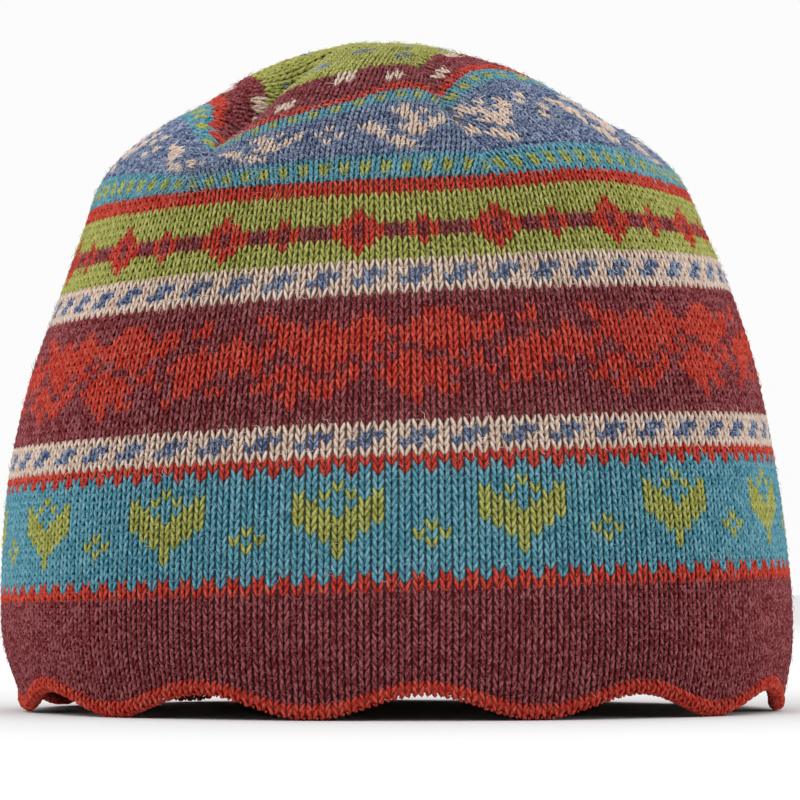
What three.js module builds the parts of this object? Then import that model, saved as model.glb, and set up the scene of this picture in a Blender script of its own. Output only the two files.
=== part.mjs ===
// A knitted beanie: a scalloped edging, a knitted side and a crown with six darts, each a closed wall.
// Millimetres, +Z up. It stands on its scallop tips at Z = 0 round the Z axis, with its front towards -Y.
import * as THREE from "three";

// Driving dimensions
const HAT_WIDTH = 190; // outside, left to right
const HAT_DEPTH = 188; // outside, front to back
const HAT_HEIGHT = 161; // scallop tips to the top of the crown
const WALL = 2.6; // stranded knitting, two yarns thick
const PIECE_GAP = 0.3; // between one piece and the next
const CROWN_ARC = 85.3; // along the cloth, from the top of the crown to its first row
const CROWN_LEAN = 2.2; // how far the crown slumps to the left
const EDGING_HEIGHT = 3.4;
const EDGING_THICKNESS = 3.4;
const SCALLOP_DEPTH = 5.4;
const TIP_FLAT = 6.6; // stretch of each scallop tip that is pressed flat where it rests
const DART_DEPTH = 11; // of the deepest dart, which lies open as a fold
const DART_WIDTH = 9; // distance from a dart in which its groove loses most of its depth
const BAND_TILT = 2.8; // how far the knitted rows rise to the right and fall to the left
const BAND_LIFT = 2.6; // how far more they ride up at the front right
const SWELL = 1.6; // the most that the soft wall strays from an even round
const SCALLOPS = 11;
const FIRST_TIP = THREE.MathUtils.degToRad(-12.6); // azimuths run from the front towards +X
const LIFT_AZIMUTH = THREE.MathUtils.degToRad(42);
const LIFT_SPREAD = THREE.MathUtils.degToRad(14);
const SHALLOW_AZIMUTH = THREE.MathUtils.degToRad(-94.4); // the scallop valley that is drawn in least
const SHALLOW_SPREAD = THREE.MathUtils.degToRad(14);
const SHALLOW_SHARE = 0.6; // of its depth that this valley lacks

// The side view from the top down. drop is a share of HAT_HEIGHT, reach of half the hat's width.
const PROFILE = [
  { name: "top", drop: 0, reach: 0 },
  { name: "top_ring", drop: 0.013, reach: 0.18 },
  { name: "high_crown", drop: 0.048, reach: 0.345 },
  { name: "mid_crown", drop: 0.096, reach: 0.482 },
  { name: "shoulder", drop: 0.142, reach: 0.618 },
  { name: "low_crown", drop: 0.205, reach: 0.733 },
  { name: "crown_edge", drop: 0.29, reach: 0.796 },
  { name: "high_side", drop: 0.4, reach: 0.864 },
  { name: "mid_side", drop: 0.52, reach: 0.928 },
  { name: "low_side", drop: 0.68, reach: 0.98 },
  { name: "widest", drop: 0.88, reach: 1 },
  { name: "hem", drop: 1, reach: 0.966 },
];

// Darts that take in the crown. azimuth is in degrees, and bend is how far it has turned by the top. depth is
// a share of DART_DEPTH, and before and after, its width on either side, are shares of DART_WIDTH.
const DARTS = [
  { name: "front_left", azimuth: -41.25, bend: -36, depth: 1, before: 0.7, after: 1.2 },
  { name: "front_right", azimuth: 17.5, bend: 0, depth: 0.4, before: 0.9, after: 0.9 },
  { name: "right", azimuth: 71, bend: 10, depth: 0.8, before: 0.6, after: 1.3 },
  { name: "back_right", azimuth: 135, bend: 0, depth: 0.5, before: 1, after: 1 },
  { name: "back", azimuth: 195, bend: 0, depth: 0.45, before: 1, after: 1 },
  { name: "left", azimuth: 255, bend: 0, depth: 0.5, before: 1, after: 1 },
];
// Where a dart opens and closes, as shares of CROWN_ARC from the top
const DART_SPAN = { closed: 0.08, full_from: 0.4, full_to: 0.6, bends_to: 0.86, open_edge: 1 };
// Where the slump begins and is whole, as shares of CROWN_ARC from the top
const LEAN_SPAN = { whole: 0.6, none: 1.35 };
// Where the cloth swells out (above 0) or falls in. azimuth and across are in degrees, arc and along are
// shares of HAT_HEIGHT down the cloth from the top, and push is a share of SWELL.
const SWELLS = [
  { name: "left_side", azimuth: -90, across: 35, arc: 0.95, along: 0.22, push: 0.6 },
  { name: "right_side", azimuth: 92, across: 35, arc: 0.93, along: 0.2, push: -1 },
  { name: "right_shoulder", azimuth: 85, across: 30, arc: 0.52, along: 0.14, push: -0.5 },
  { name: "front_left", azimuth: -30, across: 28, arc: 0.8, along: 0.18, push: 0.4 },
  { name: "back", azimuth: 170, across: 45, arc: 0.85, along: 0.25, push: 0.7 },
  { name: "left_lobe", azimuth: -82, across: 26, arc: 0.15, along: 0.1, push: 1.4 },
  { name: "front_lobe", azimuth: 52, across: 16, arc: 0.31, along: 0.12, push: 1.5 },
  { name: "right_lobe", azimuth: 100, across: 18, arc: 0.38, along: 0.1, push: 1.3 },
  { name: "left_hem", azimuth: -100, across: 24, arc: 1.29, along: 0.06, push: -1.4 },
];

// The edging's cross-section, anticlockwise. inset is a share of EDGING_THICKNESS, up of EDGING_HEIGHT.
const EDGING_SECTION = [
  { name: "foot_outside", inset: 0.15, up: 0 },
  { name: "belly_outside", inset: 0, up: 0.35 },
  { name: "shoulder_outside", inset: 0, up: 0.75 },
  { name: "top_outside", inset: 0.2, up: 1 },
  { name: "top_inside", inset: 0.8, up: 1 },
  { name: "shoulder_inside", inset: 1, up: 0.75 },
  { name: "belly_inside", inset: 1, up: 0.35 },
  { name: "foot_inside", inset: 0.85, up: 0 },
];

// How finely each wall is faceted
const SIDE_SEGMENTS = SCALLOPS * 8;
const CROWN_SEGMENTS = 96;
const SIDE_STEPS = { outside: 12, inside: 8 };
const CROWN_STEPS = { outside: 15, inside: 10 };

const sideView = new THREE.SplineCurve(
  PROFILE.map((row) => new THREE.Vector2((row.reach * HAT_WIDTH) / 2, HAT_HEIGHT * (1 - row.drop))),
);
const FULL_ARC = sideView.getLength();

// 0 before from, 1 after to, and a smooth rise between them.
function rise(value, from, to) {
  return THREE.MathUtils.smoothstep(value, from, to);
}

// 1 at an azimuth's middle, falling to 0 on both sides of it.
function near(azimuth, middle, spread) {
  return Math.exp((Math.cos(azimuth - middle) - 1) / spread ** 2);
}

// Height of the hem's edge over the surface that it stands on.
function scallop(azimuth) {
  const halfStep = Math.PI / SIDE_SEGMENTS;
  const flat = Math.max(TIP_FLAT / HAT_WIDTH, halfStep * (1 + 1e-6));
  const wave = (angle) => (1 - Math.cos(SCALLOPS * angle)) / 2;
  const raised = (wave(azimuth - FIRST_TIP) - wave(flat)) / (1 - wave(flat));
  const shallow = SHALLOW_SHARE * near(azimuth, SHALLOW_AZIMUTH, SHALLOW_SPREAD);
  return SCALLOP_DEPTH * (1 - shallow) * Math.max(0, raised);
}

// How far the knitted rows ride up at an azimuth.
function bandLift(azimuth) {
  return BAND_TILT * Math.sin(azimuth) + BAND_LIFT * near(azimuth, LIFT_AZIMUTH, LIFT_SPREAD);
}

// How far the darts draw the cloth in, at an azimuth and a distance along the cloth from the top.
function dartDepth(azimuth, arc, radius) {
  const share = arc / CROWN_ARC;
  const along =
    rise(share, DART_SPAN.closed, DART_SPAN.full_from) *
    (1 - rise(share, DART_SPAN.full_to, DART_SPAN.open_edge));
  const bent = Math.max(0, 1 - share / DART_SPAN.bends_to);
  const depths = DARTS.map((dart) => {
    const turn = azimuth - THREE.MathUtils.degToRad(dart.azimuth + dart.bend * bent);
    const away = 2 * radius * Math.abs(Math.sin(turn / 2));
    const width = DART_WIDTH * (Math.sin(turn) < 0 ? dart.before : dart.after);
    return dart.depth * DART_DEPTH * Math.exp(-away / width);
  });
  return along * Math.max(...depths);
}

// How far the soft wall swells out at an azimuth and a distance along the cloth from the top.
function swell(azimuth, arc) {
  return SWELLS.reduce((sum, row) => {
    const middle = THREE.MathUtils.degToRad(row.azimuth);
    const across = near(azimuth, middle, THREE.MathUtils.degToRad(row.across));
    const along = Math.exp(-(((arc / HAT_HEIGHT - row.arc) / row.along) ** 2));
    return sum + SWELL * row.push * across * along;
  }, 0);
}

// The point at an azimuth, a distance along the cloth from the top and a depth under its outside.
function clothPoint(azimuth, arc, inset) {
  const share = THREE.MathUtils.clamp(arc / FULL_ARC, 0, 1);
  const outside = sideView.getPointAt(share);
  const down = sideView.getTangentAt(share);
  const sunk = inset + dartDepth(azimuth, arc, outside.x) - swell(azimuth, arc);
  const atTop = share === 0;
  const radius = atTop ? 0 : Math.max(0, outside.x + down.y * sunk);
  const height = atTop ? HAT_HEIGHT - inset : outside.y - down.x * sunk;
  const lean = CROWN_LEAN * (1 - rise(arc / CROWN_ARC, LEAN_SPAN.whole, LEAN_SPAN.none));
  return new THREE.Vector3(
    radius * Math.sin(azimuth) - lean,
    -radius * Math.cos(azimuth) * (HAT_DEPTH / HAT_WIDTH),
    height,
  );
}

// A closed wall: a section turned round the axis, with each vertex then placed on the cloth by its
// azimuth and its station on the section.
function turnedWall(stations, segments, firstAzimuth, place) {
  const section = stations.map((station, row) => new THREE.Vector2(1, row));
  const geometry = new THREE.LatheGeometry(section, segments, firstAzimuth);
  const position = geometry.getAttribute("position");
  for (let column = 0; column <= segments; column++) {
    const azimuth = firstAzimuth + ((column % segments) * 2 * Math.PI) / segments;
    stations.forEach((station, row) => {
      const point = place(azimuth, station);
      position.setXYZ(column * stations.length + row, point.x, point.y, point.z);
    });
  }
  geometry.computeVertexNormals();
  return geometry;
}

// Stations up a wall's outside or down its inside. down is 0 at the wall's upper edge, 1 at its lower one.
function outsideStations(steps) {
  return Array.from({ length: steps + 1 }, (_, i) => ({ down: 1 - i / steps, inset: 0 }));
}

function insideStations(steps) {
  return Array.from({ length: steps + 1 }, (_, i) => ({ down: i / steps, inset: WALL }));
}

// The red edging that binds the hem. Its foot is level, so that the scallop tips stand flat.
function edgingGeometry() {
  const proud = (EDGING_THICKNESS - WALL) / 2;
  const place = (azimuth, station) => {
    const edge = scallop(azimuth);
    const arc = FULL_ARC - edge - station.up * EDGING_HEIGHT;
    const point = clothPoint(azimuth, arc, station.inset * EDGING_THICKNESS - proud);
    if (station.up === 0) point.z = edge;
    return point;
  };
  const firstAzimuth = FIRST_TIP - Math.PI / SIDE_SEGMENTS;
  const closed = [...EDGING_SECTION, EDGING_SECTION[0]];
  return turnedWall(closed, SIDE_SEGMENTS, firstAzimuth, place);
}

// The knitted side, from the edging up to the crown's first row.
function sideGeometry() {
  const place = (azimuth, station) => {
    const upper = CROWN_ARC - bandLift(azimuth) + PIECE_GAP / 2;
    const lower = FULL_ARC - scallop(azimuth) - EDGING_HEIGHT - PIECE_GAP;
    return clothPoint(azimuth, THREE.MathUtils.lerp(upper, lower, station.down), station.inset);
  };
  const firstAzimuth = FIRST_TIP - Math.PI / SIDE_SEGMENTS;
  const stations = [...outsideStations(SIDE_STEPS.outside), ...insideStations(SIDE_STEPS.inside)];
  return turnedWall([...stations, stations[0]], SIDE_SEGMENTS, firstAzimuth, place);
}

// The crown, from its first row to the top, taken in by the darts.
function crownGeometry() {
  const place = (azimuth, station) => {
    const lower = CROWN_ARC - bandLift(azimuth) - PIECE_GAP / 2;
    return clothPoint(azimuth, lower * station.down, station.inset);
  };
  const stations = [...insideStations(CROWN_STEPS.inside), ...outsideStations(CROWN_STEPS.outside)];
  return turnedWall(stations, CROWN_SEGMENTS, 0, place);
}

function wool(colour) {
  return new THREE.MeshStandardMaterial({ color: colour, roughness: 0.95, metalness: 0 });
}

function piece(name, geometry, material) {
  const mesh = new THREE.Mesh(geometry, material);
  mesh.name = name;
  return mesh;
}

const beanie = new THREE.Group();
beanie.name = "beanie";
beanie.add(piece("scalloped_edging", edgingGeometry(), wool(0xc23a28)));
beanie.add(piece("knitted_side", sideGeometry(), wool(0x6b2a2e)));
beanie.add(piece("crown", crownGeometry(), wool(0x4b5f8f)));

export default beanie;
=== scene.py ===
"""A knitted beanie: colourwork worked stitch by stitch in wool on a closed cloth wall with six crown darts.

Metres, +Z up. The hat stands on its scallop tips at Z = 0 round the Z axis, with its front towards -Y.
"""
import sys
import logging
import math
from dataclasses import dataclass, field, replace
from enum import Enum, IntEnum
from functools import cache, partial
from typing import Callable

import bmesh
import bpy
import numpy as np
from bpy.types import ID, Material, Mesh, Node, NodeSocket, NodeTree, Object, bpy_prop_collection
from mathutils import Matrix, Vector
from mathutils.kdtree import KDTree


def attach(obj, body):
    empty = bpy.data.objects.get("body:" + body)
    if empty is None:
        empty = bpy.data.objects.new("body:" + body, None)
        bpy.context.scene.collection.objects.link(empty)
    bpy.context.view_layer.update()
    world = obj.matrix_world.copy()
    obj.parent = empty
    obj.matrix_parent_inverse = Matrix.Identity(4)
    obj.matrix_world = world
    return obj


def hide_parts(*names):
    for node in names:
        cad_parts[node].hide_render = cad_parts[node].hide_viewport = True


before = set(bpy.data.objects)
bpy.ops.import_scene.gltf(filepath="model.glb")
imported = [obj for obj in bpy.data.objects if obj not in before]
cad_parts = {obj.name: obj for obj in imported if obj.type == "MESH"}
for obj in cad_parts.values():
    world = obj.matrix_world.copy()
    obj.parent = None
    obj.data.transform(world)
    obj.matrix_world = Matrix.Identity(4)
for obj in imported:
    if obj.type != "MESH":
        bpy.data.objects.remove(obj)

log = logging.getLogger("beanie")

MM = 0.001
TINY = 1e-12
STITCHES = 196
STITCH_WIDTH = 3.0 * MM
SIDE_ROWS = 62
CROWN_ROWS = 44
SIDE_NODE = "knitted_side"
CROWN_NODE = "crown"
EDGING_NODE = "scalloped_edging"
BODY = "root"

Colour = tuple[float, float, float]
PointAt = Callable[[np.ndarray, np.ndarray, float], np.ndarray]
Given = NodeSocket | float | tuple[float, ...]
Step = Callable[[Given, Given], NodeSocket]


def smooth(value: np.ndarray, start: float, end: float) -> np.ndarray:
    """Rises smoothly from 0 at start to 1 at end.

    Args:
        value: Where on the rise.
        start: Where the rise begins.
        end: Where it is whole.

    Returns:
        The height of the rise, from 0 to 1.
    """
    share = np.clip((np.asarray(value, float) - start) / (end - start), 0, 1)
    return share * share * (3 - 2 * share)


def near(azimuth: np.ndarray, middle: float, spread: float) -> np.ndarray:
    """1 at an azimuth's middle, falling to 0 on both sides of it."""
    return np.exp((np.cos(azimuth - middle) - 1) / spread**2)


def unit(rows: np.ndarray) -> np.ndarray:
    """Scales each row of vectors to length 1."""
    return rows / np.maximum(np.linalg.norm(rows, axis=-1, keepdims=True), TINY)


def linear(shade: str) -> Colour:
    """Turns a dyer's shade, written as six hex digits, into linear light.

    Args:
        shade: The shade, such as "6b2a2e".

    Returns:
        Red, green and blue as linear light.
    """
    parts = [int(shade[i : i + 2], 16) / 255 for i in (0, 2, 4)]
    return tuple(p / 12.92 if p <= 0.04045 else ((p + 0.055) / 1.055) ** 2.4 for p in parts)


class Yarn(Enum):
    """The wools in the hat, each by the letter that stands for it in a chart."""

    BROWN = "N"
    RED = "R"
    TEAL = "T"
    GREEN = "G"
    CREAM = "C"
    BLUE = "B"

    @property
    def place(self) -> int:
        """The yarn's number in the order above."""
        return list(Yarn).index(self)


@dataclass(frozen=True)
class WoolFinish:
    """One heathered wool: its dark, middle and light fibres, how hazy it looks and how hairy it is.

    Its dark shade is also painted, as shade, into the ply grooves and onto the cloth behind the stitches.
    """

    yarn: Yarn
    deep: str
    middle: str
    pale: str
    haze: float
    stray: float
    roughness: float = 0.9
    shine: float = 0.15
    haze_spread: float = 0.42
    ply_strength: float = 0.6
    ply_depth: float = 0.12 * MM

    def dress(self, name: str, fibre: bool = False) -> Material:
        """Makes the wool's material.

        Args:
            name: The material's name.
            fibre: True for the loose fibres, which show the light shade.

        Returns:
            The material.
        """
        deep, middle, pale = ((*linear(shade), 1) for shade in (self.deep, self.middle, self.pale))
        matt = {"Roughness": self.roughness, "Specular IOR Level": self.shine}
        sheen = {"Sheen Weight": self.haze, "Sheen Roughness": self.haze_spread, "Sheen Tint": pale}
        material, tree, shader = start_finish(name, {**matt, **sheen})
        shades = {"Deep": middle if fibre else deep, "Middle": pale if fibre else middle, "Pale": pale}
        heather = add_node(tree, "ShaderNodeGroup", shades, node_tree=heather_group())
        tree.links.new(heather.outputs["Colour"], shader.inputs["Base Color"])
        if not fibre:
            ply = add_node(tree, "ShaderNodeGroup", node_tree=ply_group())
            hairs = add_node(tree, "ShaderNodeGroup", node_tree=hair_group())
            shown = math_node(tree, "MULTIPLY", hairs.outputs["Mask"], self.stray)
            # The ply grooves' painted shade darkens the heathered colour.
            tree.links.new(ply.outputs["Painted Groove Shade"], heather.inputs["Painted Groove Shade"])
            tree.links.new(shown, heather.inputs["Hair"])
            lay_bump(tree, shader, ply.outputs["Height"], self.ply_strength, self.ply_depth)
        return material


WOOLS = (
    WoolFinish(Yarn.BROWN, deep="561f22", middle="77272b", pale="a96468", haze=0.13, stray=0.9),
    WoolFinish(Yarn.RED, deep="861e18", middle="c03226", pale="e07460", haze=0.16, stray=0.45),
    WoolFinish(Yarn.TEAL, deep="2e6475", middle="4b8fa2", pale="90c0cc", haze=0.35, stray=0.6),
    WoolFinish(Yarn.GREEN, deep="66682f", middle="a0a24a", pale="c8c880", haze=0.35, stray=0.6),
    WoolFinish(Yarn.CREAM, deep="a58674", middle="d8bfac", pale="f4e4d8", haze=0.3, stray=0.5),
    WoolFinish(Yarn.BLUE, deep="28365a", middle="46587e", pale="a2acc0", haze=0.4, stray=1.0),
)


def add_node(tree: NodeTree, kind: str, sockets: dict | None = None, **settings: str | NodeTree) -> Node:
    """Adds a node to a tree.

    Args:
        tree: The tree.
        kind: The node's type.
        sockets: What goes in each input, by its name or number: another node's socket or a plain value.
        settings: The node's own settings.

    Returns:
        The node.
    """
    made = tree.nodes.new(kind)
    for label, value in settings.items():
        setattr(made, label, value)
    for label, value in (sockets or {}).items():
        if isinstance(value, NodeSocket):
            tree.links.new(value, made.inputs[label])
        else:
            made.inputs[label].default_value = value
    return made


def math_node(tree: NodeTree, step: str, first: Given, second: Given | None = None) -> NodeSocket:
    """Adds one step of arithmetic to a tree.

    Args:
        tree: The tree.
        step: The Math node's operation.
        first: A socket or a number.
        second: A socket, a number or None.

    Returns:
        The socket with the result.
    """
    given = {place: value for place, value in enumerate((first, second)) if value is not None}
    return add_node(tree, "ShaderNodeMath", given, operation=step).outputs[0]


def arithmetic(tree: NodeTree) -> tuple[Step, Step, Step]:
    """Makes short calls that add, subtract and multiply in a tree."""
    plus, less, times = (partial(math_node, tree, step) for step in ("ADD", "SUBTRACT", "MULTIPLY"))
    return plus, less, times


def mix_node(tree: NodeTree, share: Given, first: Given, second: Given, blend: str = "MIX") -> NodeSocket:
    """Mixes two colours.

    Args:
        tree: The tree.
        share: How much of the second colour there is.
        first: A socket or a colour.
        second: A socket or a colour.
        blend: How they mix, as the Mix node names it.

    Returns:
        The socket with the mixed colour.
    """
    given = {"Factor": share, 6: first, 7: second}
    return add_node(tree, "ShaderNodeMix", given, data_type="RGBA", blend_type=blend).outputs[2]


def cloud_node(tree: NodeTree, scale: float, detail: float = 2.0, warp: float = 0.0) -> NodeSocket:
    """Adds soft random clouds that stay in place on the piece.

    Args:
        tree: The tree.
        scale: How fine they are.
        detail: How much finer detail they hold.
        warp: How far they are bent out of shape.

    Returns:
        The socket with their height.
    """
    place = add_node(tree, "ShaderNodeTexCoord").outputs["Object"]
    given = {"Vector": place, "Scale": scale, "Detail": detail, "Distortion": warp}
    return add_node(tree, "ShaderNodeTexNoise", given).outputs["Fac"]


def strand_node(tree: NodeTree) -> bpy_prop_collection:
    """Reads a piece's "strand" map, as sockets X and Y."""
    strand = add_node(tree, "ShaderNodeUVMap", uv_map="strand")
    return add_node(tree, "ShaderNodeSeparateXYZ", {"Vector": strand.outputs["UV"]}).outputs


def lay_bump(tree: NodeTree, shader: Node, height: NodeSocket, strength: float, depth: float) -> None:
    """Gives a shader a bumpy surface.

    Args:
        tree: The material's tree.
        shader: The shader.
        height: The socket with the bumps' height.
        strength: How much of them shows.
        depth: How high they stand.
    """
    bump = add_node(tree, "ShaderNodeBump", {"Height": height, "Strength": strength, "Distance": depth})
    tree.links.new(bump.outputs["Normal"], shader.inputs["Normal"])


def start_finish(name: str, values: dict[str, Given]) -> tuple[Material, NodeTree, Node]:
    """Starts a material.

    Args:
        name: The material's name.
        values: Values of its shader's inputs by name.

    Returns:
        The material, its tree and its shader.
    """
    material = bpy.data.materials.new(name)
    material.use_nodes = True
    tree = material.node_tree
    shader = tree.nodes["Principled BSDF"]
    for label, value in values.items():
        shader.inputs[label].default_value = value
    return material, tree, shader


def start_group(
    name: str, inputs: dict[str, str], outputs: dict[str, str], kind: str = "ShaderNodeTree"
) -> tuple[NodeTree, bpy_prop_collection, Node]:
    """Starts a node group.

    Args:
        name: The group's name.
        inputs: Socket types by name.
        outputs: Socket types by name.
        kind: The group's type.

    Returns:
        The group, its input sockets and its output node.
    """
    group = bpy.data.node_groups.new(name, kind)
    for side, sockets in (("INPUT", inputs), ("OUTPUT", outputs)):
        for label, kind in sockets.items():
            group.interface.new_socket(name=label, in_out=side, socket_type=kind)
    return group, add_node(group, "NodeGroupInput").outputs, add_node(group, "NodeGroupOutput")


FLECK_SCALE, FLECK_CONTRAST = 700, 1.7
MIDDLE_RISE = 2.0
PALE_START, PALE_RISE = 0.55, 1.6


@cache
def heather_group() -> NodeTree:
    """The heathered colour of a wool: patches of dark, middle and light fibres, and painted shade in the ply
    grooves.

    Returns:
        The shared node group, made once.
    """
    colour, value = "NodeSocketColor", "NodeSocketFloat"
    inputs = {"Deep": colour, "Middle": colour, "Pale": colour, "Painted Groove Shade": value, "Hair": value}
    group, given, result = start_group("heathered wool", inputs, {"Colour": colour})
    plus, less, times = arithmetic(group)
    fleck = less(cloud_node(group, FLECK_SCALE, detail=3), 0.5)
    tone = add_node(group, "ShaderNodeAttribute", attribute_name="tone").outputs["Fac"]
    lightness = plus(plus(times(fleck, FLECK_CONTRAST), 0.5), tone)
    body = mix_node(group, times(lightness, MIDDLE_RISE), given["Deep"], given["Middle"])
    flecked = mix_node(group, times(less(lightness, PALE_START), PALE_RISE), body, given["Pale"])
    # Painted shade: the deep shade is mixed in where the plies dip.
    groove_shaded = mix_node(group, given["Painted Groove Shade"], flecked, given["Deep"])
    hairy = mix_node(group, given["Hair"], groove_shaded, given["Pale"])
    group.links.new(hairy, result.inputs["Colour"])
    return group


HAIR_SCALES_AND_WIDTHS = ((210, 0.026), (330, 0.034), (520, 0.04))
HAIR_WARP = 0.8


@cache
def hair_group() -> NodeTree:
    """The fine stray hairs that lie across the stitches: thin curved lines where a soft cloud is half full.

    Returns:
        The shared node group, made once.
    """
    group, _, result = start_group("stray hairs", {}, {"Mask": "NodeSocketFloat"})
    _, less, _ = arithmetic(group)
    mask = 0.0
    for scale, width in HAIR_SCALES_AND_WIDTHS:
        away = less(cloud_node(group, scale, detail=1, warp=HAIR_WARP), 0.5)
        away = math_node(group, "ABSOLUTE", away)
        mask = math_node(group, "MAXIMUM", less(1.0, math_node(group, "DIVIDE", away, width)), mask)
    group.links.new(mask, result.inputs["Mask"])
    return group


PLIES, PLY_TURNS = 4, 1.6
PLY_STRAY_SCALE, PLY_WOBBLE, PLY_ROUGHNESS = 2600, 5.0, 0.8
GROOVE_SHADE = 0.9


@cache
def ply_group() -> NodeTree:
    """The twist of the yarn's plies along each leg of a stitch, from its own "strand" map, and the painted
    shade between the plies.

    Returns:
        The shared node group, made once.
    """
    outputs = {"Height": "NodeSocketFloat", "Painted Groove Shade": "NodeSocketFloat"}
    group, _, result = start_group("twisted plies", {}, outputs)
    strand = strand_node(group)
    stray = cloud_node(group, PLY_STRAY_SCALE)
    plus, less, times = arithmetic(group)
    turned = plus(times(strand["X"], PLIES * math.tau), times(strand["Y"], PLY_TURNS * math.tau))
    phase = plus(turned, times(stray, PLY_WOBBLE))
    wave = times(plus(math_node(group, "SINE", phase), 1), 0.5)
    group.links.new(plus(wave, times(stray, PLY_ROUGHNESS)), result.inputs["Height"])
    # Painted shade in the hollows between the plies, strongest where the ply wave is lowest.
    groove = times(less(0.5, wave), GROOVE_SHADE)
    group.links.new(math_node(group, "MAXIMUM", groove, 0), result.inputs["Painted Groove Shade"])
    return group


@dataclass(frozen=True)
class Station:
    """A place on the side view. drop is a share of the height, reach of half the width."""

    name: str
    drop: float
    reach: float


@dataclass(frozen=True)
class Dart:
    """A dart in the crown.

    azimuth is in degrees, and bend is how far it has turned by the top. It begins to turn at bends_to, a
    share of the crown's length from the top. depth, before and after are shares of the deepest dart's depth
    and width. sag is how far the rows dip into it, over a stretch that is narrower the higher dip_before and
    dip_after are.
    """

    name: str
    azimuth: float
    bend: float
    depth: float
    before: float
    after: float
    sag: float
    dip_before: float
    dip_after: float
    bends_to: float = 0.86

    def path(self, share: np.ndarray) -> np.ndarray:
        """The dart's azimuth in radians, at a share of the crown's length down from the top."""
        return np.radians(self.azimuth + self.bend * np.maximum(0, 1 - share / self.bends_to))


@dataclass(frozen=True)
class Swell:
    """Where the soft wall swells out or falls in.

    azimuth and across are in degrees, arc and along are shares of the hat's height, and push is a share of
    the cloth's swell_push, less than 0 for a hollow.
    """

    name: str
    azimuth: float
    across: float
    arc: float
    along: float
    push: float


SIDE_VIEW = (
    Station("top", 0, 0),
    Station("top_ring", 0.013, 0.18),
    Station("high_crown", 0.048, 0.345),
    Station("mid_crown", 0.096, 0.482),
    Station("shoulder", 0.142, 0.618),
    Station("low_crown", 0.205, 0.733),
    Station("crown_edge", 0.29, 0.796),
    Station("high_side", 0.4, 0.864),
    Station("mid_side", 0.52, 0.928),
    Station("low_side", 0.68, 0.98),
    Station("widest", 0.88, 1),
    Station("hem", 1, 0.966),
)

DARTS = (
    Dart("left", -105, 0, 0.5, 1, 1, sag=7 * MM, dip_before=2.5, dip_after=2.5),
    Dart("front_left", -41.25, -36, 1, 0.7, 1.2, sag=19 * MM, dip_before=4.5, dip_after=1.4),
    Dart("front_right", 17.5, 0, 0.4, 0.9, 0.9, sag=8 * MM, dip_before=4, dip_after=2.5),
    Dart("right", 71, 10, 0.8, 0.6, 1.3, sag=8 * MM, dip_before=3, dip_after=2.5),
    Dart("back_right", 135, 0, 0.5, 1, 1, sag=7 * MM, dip_before=2.5, dip_after=2.5),
    Dart("back", 195, 0, 0.45, 1, 1, sag=7 * MM, dip_before=2.5, dip_after=2.5),
)

SWELLS = (
    Swell("left_side", -90, 35, 0.95, 0.22, 0.6),
    Swell("right_side", 92, 35, 0.93, 0.2, -1),
    Swell("right_shoulder", 85, 30, 0.52, 0.14, -0.5),
    Swell("front_left", -30, 28, 0.8, 0.18, 0.4),
    Swell("back", 170, 45, 0.85, 0.25, 0.7),
    Swell("left_lobe", -82, 26, 0.15, 0.1, 1.4),
    Swell("front_lobe", 52, 16, 0.31, 0.12, 1.5),
    Swell("right_lobe", 100, 18, 0.38, 0.1, 1.3),
    Swell("left_hem", -100, 24, 1.29, 0.06, -1.4),
)


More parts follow.
